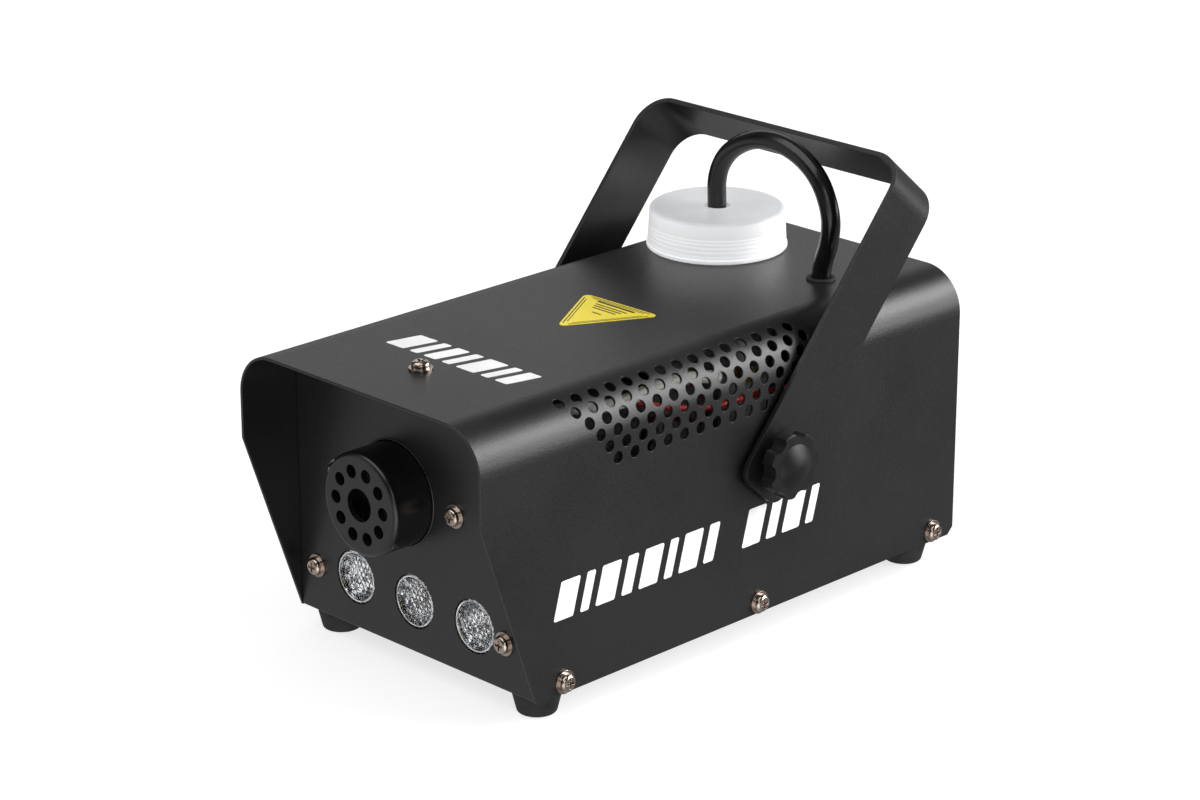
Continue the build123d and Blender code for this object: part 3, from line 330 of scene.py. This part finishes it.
MATERIALS = {
    "case": powder_coat(),
    "satin": finish("satin_black", (0.0035, 0.0035, 0.0038), (0.0085, 0.0085, 0.009), (0.22, 0.30),
                    patch=0.03, grain=0.006, depth=0.00002, level=0.5).material,
    "milky": milky_plastic(),
    "cap": cap_plastic_painted_shade_glow(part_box("bottle_cap")[1].z - 1.8 * MM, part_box("bottle_cap")[1].z - 0.5 * MM),
    "acrylic": clear_acrylic(),
    "mirror": mirror_bowl(),
    # Painted highlight: the lens rims are coloured from grey to near white, standing in for the glint round
    # each lens.
    "rim_highlight": finish("rim_painted_highlight", (0.20, 0.20, 0.21), (0.95, 0.96, 0.97), (0.15, 0.4), patch=0.0045,
                      grain=0.0006, depth=0.00003, coat=0.3).material,
    "sleeve": braided_sleeve(),
    "wool": wool_blanket(),
    "coil": wound_coil(),
    "board": circuit_board(),
    "earth": striped_wire("earth_wire_cover", (0.03, 0.30, 0.05), (0.72, 0.60, 0.03)),
    "screw": finish("screw_nickel", (0.27, 0.215, 0.18), (0.56, 0.485, 0.43), (0.10, 0.22), patch=0.004,
                    grain=0.0005, depth=0.00002, metal=1.0, edges=0.0002).material,
    "zinc": finish("zinc_plate", (0.46, 0.46, 0.45), (0.66, 0.66, 0.63), (0.28, 0.50), patch=0.007,
                   grain=0.0012, depth=0.00003, metal=1.0, edges=0.0002).material,
    "brass": finish("brass_turned", (0.52, 0.36, 0.13), (0.74, 0.55, 0.25), (0.18, 0.35), patch=0.004,
                    grain=0.0004, depth=0.00002, metal=1.0, stretch=(1, 3, 1)).material,
    # Painted shade: the nozzle tip's brass is coloured near black, for its place deep in the nozzle's hole.
    "dark_tip": finish("near_black_brass", (0.040, 0.030, 0.022), (0.085, 0.064, 0.045), (0.35, 0.55),
                    patch=0.003, grain=0.0006, depth=0.00004, metal=0.9).material,
    "alloy": finish("cast_alloy", (0.42, 0.43, 0.44), (0.62, 0.63, 0.64), (0.38, 0.60), patch=0.005,
                    grain=0.0011, depth=0.00010, metal=1.0).material,
    "rubber": finish("foot_rubber", (0.008, 0.008, 0.008), (0.022, 0.022, 0.023), (0.55, 0.78),
                     patch=0.006, grain=0.0007, depth=0.00009, level=0.35).material,
    "hose": finish("hose_silicone", (0.0035, 0.0035, 0.0038), (0.008, 0.008, 0.0085), (0.17, 0.27),
                   patch=0.010, grain=0.0012, depth=0.00004, level=0.45).material,
    "knob": finish("knob_bakelite", (0.004, 0.004, 0.0045), (0.009, 0.009, 0.0095), (0.40, 0.50),
                   patch=0.012, grain=0.0030, depth=0.00001, level=0.3).material,
    "moulded": finish("moulded_black", (0.009, 0.009, 0.010), (0.020, 0.020, 0.021), (0.38, 0.58),
                      patch=0.009, grain=0.0005, depth=0.00004, edges=0.0003).material,
    "white_part": finish("moulded_white", (0.66, 0.66, 0.63), (0.80, 0.80, 0.77), (0.35, 0.52),
                         patch=0.008, grain=0.0008, depth=0.00003).material,
    "white_hose": finish("hose_white", (0.64, 0.65, 0.62), (0.82, 0.82, 0.79), (0.30, 0.45),
                         patch=0.006, grain=0.0009, depth=0.00003).material,
    "red_wire": finish("wire_red_cover", (0.42, 0.012, 0.010), (0.62, 0.030, 0.022), (0.32, 0.5),
                       patch=0.006, grain=0.0007, depth=0.00003).material,
    "black_wire": finish("wire_black_cover", (0.010, 0.010, 0.011), (0.024, 0.024, 0.025), (0.38, 0.55),
                         patch=0.006, grain=0.0007, depth=0.00003).material,
    "foam": finish("liner_foam", (0.42, 0.42, 0.41), (0.60, 0.60, 0.58), (0.7, 0.9), patch=0.003,
                   grain=0.0006, depth=0.0002).material,
    "glass": finish("fuse_glass", (0.80, 0.84, 0.84), (0.92, 0.95, 0.95), (0.04, 0.14), patch=0.005,
                    grain=0.0012, depth=0.00001, coat=0.4).material,
    "red_part": finish("rocker_plastic", (0.34, 0.010, 0.008), (0.52, 0.024, 0.018), (0.25, 0.42),
                       patch=0.006, grain=0.0007, depth=0.00003, edges=0.0003).material,
    "green_lamp": finish("lamp_plastic", (0.02, 0.30, 0.07), (0.05, 0.48, 0.13), (0.10, 0.24),
                         patch=0.004, grain=0.0008, depth=0.00003, coat=0.4).material,
    "green_part": finish("terminal_plastic", (0.02, 0.20, 0.07), (0.04, 0.30, 0.11), (0.35, 0.52),
                         patch=0.006, grain=0.0006, depth=0.00004).material,
    "phosphor": finish("led_phosphor", (0.72, 0.50, 0.05), (0.88, 0.70, 0.14), (0.3, 0.45),
                       patch=0.0015, grain=0.0003, depth=0.00003).material,
    "core": finish("laminated_core", (0.16, 0.15, 0.145), (0.30, 0.29, 0.28), (0.35, 0.55), patch=0.008,
                   grain=0.0005, depth=0.00006, metal=0.9, stretch=(1, 1, 6)).material,
    "white_ink": finish("white_ink", (0.80, 0.80, 0.80), (0.93, 0.93, 0.92), (0.42, 0.6), patch=0.012,
                        grain=0.0006, depth=0.00003).material,
    "yellow_film": finish("yellow_film", (0.80, 0.64, 0.026), (0.88, 0.72, 0.045), (0.30, 0.46),
                          patch=0.012, grain=0.0010, depth=0.00002).material,
    "black_ink": finish("black_ink", (0.010, 0.010, 0.010), (0.022, 0.022, 0.022), (0.35, 0.5),
                        patch=0.006, grain=0.0006, depth=0.00002).material,
}

NODE_LOOKS = {
    "case": ["top_cover", "chassis", "handle_strap"],
    "satin": ["nozzle_shroud"],
    "screw": ["cover_screws", "panel_screws", "foot_screws"],
    "zinc": ["heater_bracket", "heater_stand", "heater_terminals", "pump_bracket", "pump_plunger",
             "pump_spring", "pivot_nuts", "knob_stud_right", "knob_stud_left"],
    "brass": ["fluid_fitting", "pump_fittings", "hose_joiner", "pickup_filter", "inlet_pins"],
    "dark_tip": ["nozzle_tip"],
    "alloy": ["heater_block", "thermostats"],
    "rubber": ["rubber_feet", "hose_grommet"],
    "knob": ["knob_right", "knob_left"],
    "moulded": ["led_holders", "inlet_body", "fuse_drawer", "switch_frame", "remote_socket",
                "bottle_cradle", "pivot_washers"],
    "acrylic": ["led_lenses"],
    "board": ["led_board", "control_board"],
    "phosphor": ["led_emitters"],
    "white_part": ["board_spacers", "pump_tube"],
    "wool": ["heater_insulation"],
    "core": ["pump_yoke", "board_transformer"],
    "coil": ["pump_coil"],
    "white_hose": ["pressure_hose"],
    "hose": ["feed_hose", "intake_hose"],
    "milky": ["bottle"],
    "cap": ["bottle_cap"],
    "foam": ["cap_liner"],
    "glass": ["fuse"],
    "red_part": ["switch_rocker"],
    "green_lamp": ["indicator_lens"],
    "green_part": ["terminal_block"],
    "red_wire": ["red_wires"],
    "sleeve": ["white_sleeve"],
    "black_wire": ["black_wires"],
    "earth": ["earth_wire"],
}

for look, names in NODE_LOOKS.items():
    for name in names:
        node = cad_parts[name]
        for slot in node.material_slots:
            slot.material = MATERIALS[look]


# ---------------------------------------------------------------- mesh helpers
def piece(name, mesh_data, look, body, smooth=True):
    """Link a new piece, give it its finish and let it ride on a body."""
    mesh_data.materials.append(MATERIALS[look])
    for face in mesh_data.polygons:
        face.use_smooth = smooth
    made = bpy.data.objects.new(name, mesh_data)
    bpy.context.scene.collection.objects.link(made)
    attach(made, body)
    return made


def lathe(name, profile, centre, axis="Z", steps=160):
    """A closed surface of revolution: profile is a closed loop of (radius, height) pairs."""
    shape = bmesh.new()
    loops = []
    for step in range(steps):
        angle = 2 * math.pi * step / steps
        loop = []
        for radius, height in profile:
            across, up = radius * math.cos(angle), radius * math.sin(angle)
            at = (across, up, height) if axis == "Z" else (across, height, up)
            loop.append(shape.verts.new(Vector(at) + Vector(centre)))
        loops.append(loop)
    count = len(profile)
    for step in range(steps):
        here, there = loops[step], loops[(step + 1) % steps]
        for i in range(count):
            j = (i + 1) % count
            shape.faces.new((here[i], there[i], there[j], here[j]))
    bmesh.ops.recalc_face_normals(shape, faces=shape.faces)
    mesh_data = bpy.data.meshes.new(name)
    shape.to_mesh(mesh_data)
    shape.free()
    return mesh_data


def smooth_by_angle(mesh_data, limit=32):
    """Keep the mesh's sharp turns sharp and everything else smooth."""
    shape = bmesh.new()
    shape.from_mesh(mesh_data)
    for edge in shape.edges:
        if len(edge.link_faces) == 2:
            edge.smooth = edge.calc_face_angle(0) < math.radians(limit)
    shape.to_mesh(mesh_data)
    shape.free()


def rounded_outline(corners, radius, steps=5):
    """A flat outline with its corners rounded."""
    points = []
    count = len(corners)
    for i, corner in enumerate(corners):
        here = Vector(corner)
        before = (Vector(corners[i - 1]) - here).normalized()
        after = (Vector(corners[(i + 1) % count]) - here).normalized()
        half = before.angle(after) / 2
        reach = radius / math.tan(half)
        centre = here + (before + after).normalized() * radius / math.sin(half)
        start = here + before * reach - centre
        end = here + after * reach - centre
        turn = start.angle(end)
        for step in range(steps + 1):
            share = step / steps
            arm = (start * math.sin((1 - share) * turn) + end * math.sin(share * turn)) / math.sin(turn)
            points.append(centre + arm)
    return points


def plate(name, outlines, place, thickness):
    """Thin closed plates with chamfered rims; place turns a flat point and a height into a position."""
    shape = bmesh.new()
    for outline in outlines:
        middle = sum(outline, Vector((0, 0))) / len(outline)
        rings = []
        for inset, height in ((0.0, 0.0), (0.0, 0.6), (0.35, 1.0)):
            ring = []
            for point in outline:
                inward = (middle - point).normalized() * inset * thickness
                ring.append(shape.verts.new(place(point + inward, height * thickness)))
            rings.append(ring)
        count = len(outline)
        for low, high in zip(rings, rings[1:]):
            for i in range(count):
                j = (i + 1) % count
                shape.faces.new((low[i], low[j], high[j], high[i]))
        shape.faces.new(rings[-1])
        shape.faces.new(list(reversed(rings[0])))
    bmesh.ops.recalc_face_normals(shape, faces=shape.faces)
    mesh_data = bpy.data.meshes.new(name)
    shape.to_mesh(mesh_data)
    shape.free()
    return mesh_data


# ---------------------------------------------------------------- fluid hose
def add_hose():
    """The intake hose on one smooth line, from the bottle's filter to the grommet in the cover."""
    route = [
        (-25.0, 78.3, 33.0),
        (-25.0, 78.3, 111.3),
        (-25.0, 78.3, 124.7),
        (-24.7, 77.3, 138.0),
        (-17.0, 76.0, 149.0),
        (-2.7, 75.1, 156.6),
        (14.3, 74.4, 156.5),
        (28.1, 74.1, 149.0),
        (34.5, 74.3, 136.0),
        (33.7, 74.7, 125.0),
        (29.6, 75.0, 114.8),
        (29.6, 75.0, 103.9),
        (29.6, 75.0, 65.3),
    ]
    data = bpy.data.curves.new("hose_line", "CURVE")
    data.dimensions = "3D"
    data.resolution_u = 16
    data.bevel_depth = HOSE_RADIUS
    data.bevel_resolution = 6
    data.use_fill_caps = True
    line = data.splines.new("NURBS")
    line.points.add(len(route) - 1)
    for point, at in zip(line.points, route):
        point.co = (*(value * MM for value in at), 1)
    line.order_u = 3
    line.use_endpoint_u = True
    hose = bpy.data.objects.new("hose_line", data)
    bpy.context.scene.collection.objects.link(hose)
    data.materials.append(MATERIALS["hose"])
    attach(hose, "bottle")
    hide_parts("intake_hose")


add_hose()


# ---------------------------------------------------------------- bottle cap
def add_cap():
    low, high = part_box("bottle_cap")
    centre = ((low.x + high.x) / 2, (low.y + high.y) / 2, 0)
    bottom, top = low.z, high.z
    outer, upper = (high.x - low.x) / 2, (high.x - low.x) / 2 - 1.1 * MM
    rim = 1.4 * MM
    profile = [(outer - 1.6 * MM, bottom), (outer - 0.35 * MM, bottom), (outer, bottom + 0.35 * MM)]
    profile += [(outer, bottom + 1.3 * MM), (outer - 0.45 * MM, bottom + 1.75 * MM)]
    for ring, rise in enumerate((2.7, 4.4, 6.0, 7.4, 8.6)):
        z = bottom + rise * MM
        wall = outer - 0.42 * MM - 0.09 * MM * ring
        profile += [(wall, z), (wall - 0.11 * MM, z + 0.25 * MM)]
        profile += [(wall - 0.11 * MM, z + 0.55 * MM), (wall - 0.03 * MM, z + 0.8 * MM)]
    profile.append((upper, top - rim))
    for step in range(1, 7):
        turn = math.pi / 2 * step / 6
        profile.append((upper - rim + rim * math.cos(turn), top - rim + rim * math.sin(turn)))
    profile += [(12.0 * MM, top - 0.12 * MM), (5.6 * MM, top - 0.15 * MM)]
    profile += [(5.4 * MM, top), (4.7 * MM, top), (4.3 * MM, top - 0.3 * MM)]
    inside = top - 2.0 * MM
    profile += [(4.3 * MM, inside), (23.5 * MM, inside), (23.5 * MM, bottom + 0.2 * MM)]
    profile.append((23.8 * MM, bottom))
    mesh_data = lathe("cap_shell", profile, centre)
    smooth_by_angle(mesh_data)
    cap = piece("cap_shell", mesh_data, "cap", "cap")
    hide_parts("bottle_cap")


add_cap()


# ---------------------------------------------------------------- lamp lenses
def bead_height(x, z, pitch):
    """Height of a honeycomb of small domes."""
    row_step = pitch * math.sqrt(3) / 2
    best = pitch
    base = math.floor(z / row_step)
    for row in (base - 1, base, base + 1, base + 2):
        shift = pitch / 2 if row % 2 else 0.0
        column = round((x - shift) / pitch)
        away = math.hypot(x - column * pitch - shift, z - row * row_step)
        best = min(best, away)
    return 1 - min(1.0, (best / (pitch * 0.58)) ** 2)


def add_lens(index, x, z, face_y, radius):
    """A beaded clear lens over a faceted bowl."""
    shape = bmesh.new()
    rings, around = 34, 120
    bead_edge = radius - 1.5 * MM
    thickness = 1.5 * MM
    back_y = face_y + thickness + 1.0 * MM
    front = [shape.verts.new((x, face_y + 0.5 * MM, z))]
    grid = []
    for ring in range(1, rings + 1):
        r = radius * ring / rings
        loop = []
        for step in range(around):
            angle = 2 * math.pi * step / around
            dx, dz = r * math.cos(angle), r * math.sin(angle)
            crown = 0.75 * MM * (r / bead_edge) ** 2
            if r <= bead_edge:
                depth = crown + 0.42 * MM * (1 - bead_height(dx, dz, 1.9 * MM))
            elif r <= radius - 0.9 * MM:
                depth = 0.9 * MM
            else:
                depth = 0.0 if r < radius - 0.2 * MM else 0.3 * MM
            loop.append(shape.verts.new((x + dx, face_y + depth, z + dz)))
        grid.append(loop)
    wall = [shape.verts.new((v.co.x, back_y, v.co.z)) for v in grid[-1]]
    loops = grid + [wall]
    for step in range(around):
        follow = (step + 1) % around
        shape.faces.new((front[0], loops[0][step], loops[0][follow]))
        for inner, outer in zip(loops, loops[1:]):
            shape.faces.new((inner[step], outer[step], outer[follow], inner[follow]))
    shape.faces.new(wall)
    bmesh.ops.recalc_face_normals(shape, faces=shape.faces)
    mesh_data = bpy.data.meshes.new(f"lens_{index}")
    shape.to_mesh(mesh_data)
    shape.free()
    smooth_by_angle(mesh_data, 50)
    lens = piece(f"lens_{index}", mesh_data, "acrylic", "housing")
    start = back_y + 0.2 * MM
    end = face_y + 8.6 * MM
    bowl = [(radius - 0.2 * MM, start), (radius - 0.2 * MM, start + 0.4 * MM)]
    for step in range(9):
        share = step / 8
        bowl.append((3.4 * MM + (radius - 3.8 * MM) * (1 - share) ** 0.6, start + (end - start) * share))
    bowl += [(2.6 * MM, end), (2.6 * MM, end - 0.5 * MM)]
    for step in range(9):
        share = 1 - step / 8
        bowl.append((2.6 * MM + (radius - 3.6 * MM) * (1 - share) ** 0.6,
                     start + (end - start - 0.5 * MM) * share))
    mesh_data = lathe(f"reflector_{index}", bowl, (x, 0, z), axis="Y", steps=48)
    smooth_by_angle(mesh_data, 40)
    piece(f"reflector_{index}", mesh_data, "mirror", "housing")
    # This rim ring carries the lens's painted highlight.
    rim = [(radius - 0.75 * MM, face_y + 0.02 * MM)]
    for step in range(7):
        turn = math.pi * step / 6
        rim.append((radius - 0.48 * MM - 0.27 * MM * math.cos(turn), face_y - 0.16 * MM * math.sin(turn)))
    rim.append((radius - 0.21 * MM, face_y + 0.02 * MM))
    mesh_data = lathe(f"lens_rim_{index}", rim, (x, 0, z), axis="Y", steps=96)
    smooth_by_angle(mesh_data, 40)
    piece(f"lens_rim_{index}", mesh_data, "rim_highlight", "housing")
    return lens


def add_lenses():
    low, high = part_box("led_lenses")
    radius = (high.z - low.z) / 2
    z = (low.z + high.z) / 2
    xs = (low.x + radius, (low.x + high.x) / 2, high.x - radius)
    lenses = [add_lens(i + 1, x, z, low.y, radius) for i, x in enumerate(xs)]
    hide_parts("led_lenses")


add_lenses()


# ---------------------------------------------------------------- nozzle seal
def add_seal():
    """A thin raised lip where the nozzle cup passes through the front panel."""
    low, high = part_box("nozzle_shroud")
    panel_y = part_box("led_lenses")[0].y - 0.3 * MM
    centre = ((low.x + high.x) / 2, 0, (low.z + high.z) / 2)
    inner, outer = 18.5 * MM, 19.3 * MM
    profile = [(inner, panel_y - 0.05 * MM)]
    for step in range(9):
        turn = math.pi * step / 8
        middle, half = (inner + outer) / 2, (outer - inner) / 2
        profile.append((middle - half * math.cos(turn), panel_y - 0.05 * MM - 0.4 * MM * math.sin(turn)))
    profile.append((outer, panel_y - 0.01 * MM))
    profile.append((inner, panel_y - 0.01 * MM))
    mesh_data = lathe("nozzle_seal", profile, centre, axis="Y", steps=128)
    smooth_by_angle(mesh_data, 40)
    piece("nozzle_seal", mesh_data, "satin", "housing")


add_seal()


# ---------------------------------------------------------------- labels
def add_label():
    """A plain triangular label on the top, with two thin outlines and a few bars."""
    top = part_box("top_cover")[1].z

    def on_top(lift):
        return lambda point, height: Vector((point.x, point.y, top + lift + height))

    corners = [Vector((0.5, -29.2)), Vector((18.3, 4.2)), Vector((-18.3, 3.2))]
    corners = [corner * MM for corner in corners]
    middle = sum(corners, Vector((0, 0))) / 3
    film = plate("label_film", [rounded_outline(corners, 2.0 * MM)], on_top(0), FILM_THICKNESS)
    piece("label_film", film, "yellow_film", "housing", smooth=False)
    strips = []
    for share, width in ((0.90, 0.4 * MM), (0.80, 0.3 * MM)):
        ends = [middle + (corner - middle) * share for corner in corners]
        for i, start in enumerate(ends):
            end = ends[(i + 1) % 3]
            along = (end - start).normalized()
            side = Vector((-along.y, along.x)) * width / 2
            inset = along * 2.4 * MM
            first, last = start + inset, end - inset
            strips.append([first - side, last - side, last + side, first + side])
    bar_x = 0.2
    for y, half in ((0.2, 9.0), (-2.2, 7.6), (-4.0, 6.6), (-5.8, 5.6), (-9.5, 2.2)):
        tall = 0.55 if y > -1 else 0.32
        corners = ((-half, -tall), (half, -tall), (half, tall), (-half, tall))
        strips.append([Vector((bar_x + across, y + up)) * MM for across, up in corners])
    lines = plate("label_lines", strips, on_top(FILM_THICKNESS), LINE_THICKNESS)
    piece("label_lines", lines, "black_ink", "housing", smooth=False)


def slanted_bars(start, widths, gap, low, height, lean):
    """Outlines of leaning bars in a row."""
    outlines = []
    at = start
    for width in widths:
        shift = height * lean
        high = low + height
        corners = [(at, low), (at + width, low), (at + width + shift, high), (at + shift, high)]
        outlines.append(rounded_outline([Vector(corner) * MM for corner in corners], 0.7 * MM, steps=3))
        at += width + gap
    return outlines


def add_marks():
    """Plain leaning bars on both sides and on the top, where the case is printed."""
    side_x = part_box("top_cover")[1].x
    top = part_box("top_cover")[1].z
    bars = slanted_bars(-89.0, (9, 4, 9, 5, 9, 4, 9, 5), 3.2, 35.5, 13.6, 0.28)
    bars += slanted_bars(2.0, (9, 5, 9, 4), 3.2, 35.5, 13.6, 0.28)

    def right(point, height):
        return Vector((side_x + height, point.x, point.y))

    def left(point, height):
        return Vector((-side_x - height, -point.x, point.y))

    def above(point, height):
        return Vector((point.x, point.y, top + height))

    top_bars = slanted_bars(-29.0, (9, 4, 6, 4, 9, 4, 6), 3.0, -82.0, 13.5, 0.24)
    marks = (("side_marks_right", bars, right), ("side_marks_left", bars, left),
             ("top_marks", top_bars, above))
    for name, outlines, place in marks:
        piece(name, plate(name, outlines, place, INK_THICKNESS), "white_ink", "housing",
              smooth=False)


add_label()
add_marks()


# ---------------------------------------------------------------- floor and light
def add_stage():
    """A plain white floor, a little self-lit so that shadows on it stay faint."""
    shape = bmesh.new()
    bmesh.ops.create_grid(shape, x_segments=8, y_segments=8, size=6.0)
    data = bpy.data.meshes.new("floor")
    shape.to_mesh(data)
    shape.free()
    graph = Graph("floor_paper")
    tone = graph.noise(0.4, detail=3)
    graph.colour(graph.ramp(tone, [(0.3, (0.38, 0.38, 0.38)), (0.7, (0.40, 0.40, 0.40))]))
    graph.rough(graph.spread(tone, 0.85, 0.95))
    graph.set(Specular_IOR_Level=0.0, Emission_Color=(1, 1, 1, 1), Emission_Strength=0.74)
    data.materials.append(graph.material)
    floor = bpy.data.objects.new("floor", data)
    floor.location = (0, 0, -FLOOR_DROP)
    floor.visible_glossy = False
    bpy.context.scene.collection.objects.link(floor)


def softbox(name, direction, distance, size, radiance):
    """An oblong lamp that faces the machine from a direction, upright, with an even radiance."""
    data = bpy.data.lights.new(name, "AREA")
    data.shape = "RECTANGLE"
    data.size, data.size_y = size
    data.energy = radiance * math.pi * size[0] * size[1]
    lamp = bpy.data.objects.new(name, data)
    out = Vector(direction).normalized()
    lamp.location = LAMP_AIM + out * distance
    lamp.rotation_euler = out.to_track_quat("Z", "Y").to_euler()
    bpy.context.scene.collection.objects.link(lamp)


def add_light():
    world = bpy.data.worlds.new("studio")
    bpy.context.scene.world = world
    world.use_nodes = True
    nodes, links = world.node_tree.nodes, world.node_tree.links
    background = nodes["Background"]
    background.inputs["Color"].default_value = (1, 1, 1, 1)
    place = nodes.new("ShaderNodeTexCoord")
    split = nodes.new("ShaderNodeSeparateXYZ")
    links.new(place.outputs["Generated"], split.inputs[0])

    def ramp(source, start, end, low, high):
        made = nodes.new("ShaderNodeMapRange")
        links.new(source, made.inputs["Value"])
        for key, value in zip(("From Min", "From Max"), (start, end)):
            made.inputs[key].default_value = value
        for key, value in zip(("To Min", "To Max"), (low, high)):
            if isinstance(value, float):
                made.inputs[key].default_value = value
            else:
                links.new(value, made.inputs[key])
        return made.outputs["Result"]

    below = ramp(split.outputs["Y"], -0.5, 0.5, 0.60, 0.31)
    strength = ramp(split.outputs["Z"], -0.14, -0.02, below, 0.08)
    # Reflections see a brighter patch low on the near right, which picks out the edges that face it.
    toward = nodes.new("ShaderNodeVectorMath")
    toward.operation = "DOT_PRODUCT"
    toward.inputs[1].default_value = (0.66, -0.66, -0.34)
    links.new(place.outputs["Generated"], toward.inputs[0])
    strength = ramp(toward.outputs["Value"], 0.80, 0.97, strength, 2.0)
    links.new(strength, background.inputs["Strength"])
    seen = nodes.new("ShaderNodeBackground")
    seen.inputs["Color"].default_value = (1, 1, 1, 1)
    seen.inputs["Strength"].default_value = 1.0
    path = nodes.new("ShaderNodeLightPath")
    mix = nodes.new("ShaderNodeMixShader")
    links.new(path.outputs["Is Camera Ray"], mix.inputs["Fac"])
    links.new(background.outputs[0], mix.inputs[1])
    links.new(seen.outputs[0], mix.inputs[2])
    links.new(mix.outputs[0], nodes["World Output"].inputs["Surface"])
    softbox("rear_right_high", (0.54, 0.69, 0.485), 2.8, (2.6, 1.0), 9.6)
    softbox("rear_right_low", (0.72, 0.66, 0.12), 2.8, (2.6, 0.85), 4.2)
    softbox("rear_left", (-0.664, 0.664, 0.33), 1.5, (1.9, 0.75), 0.62)
    softbox("overhead", (-0.1, -0.45, 1.0), 1.8, (2.0, 2.0), 2.1)
    softbox("front_left", (-0.75, -1.0, 0.25), 1.8, (0.9, 0.9), 0.5)
    softbox("front_right", (0.74, -0.54, 0.36), 2.2, (0.7, 0.7), 2.2)


add_stage()
add_light()
bpy.context.scene.view_settings.view_transform = "Standard"
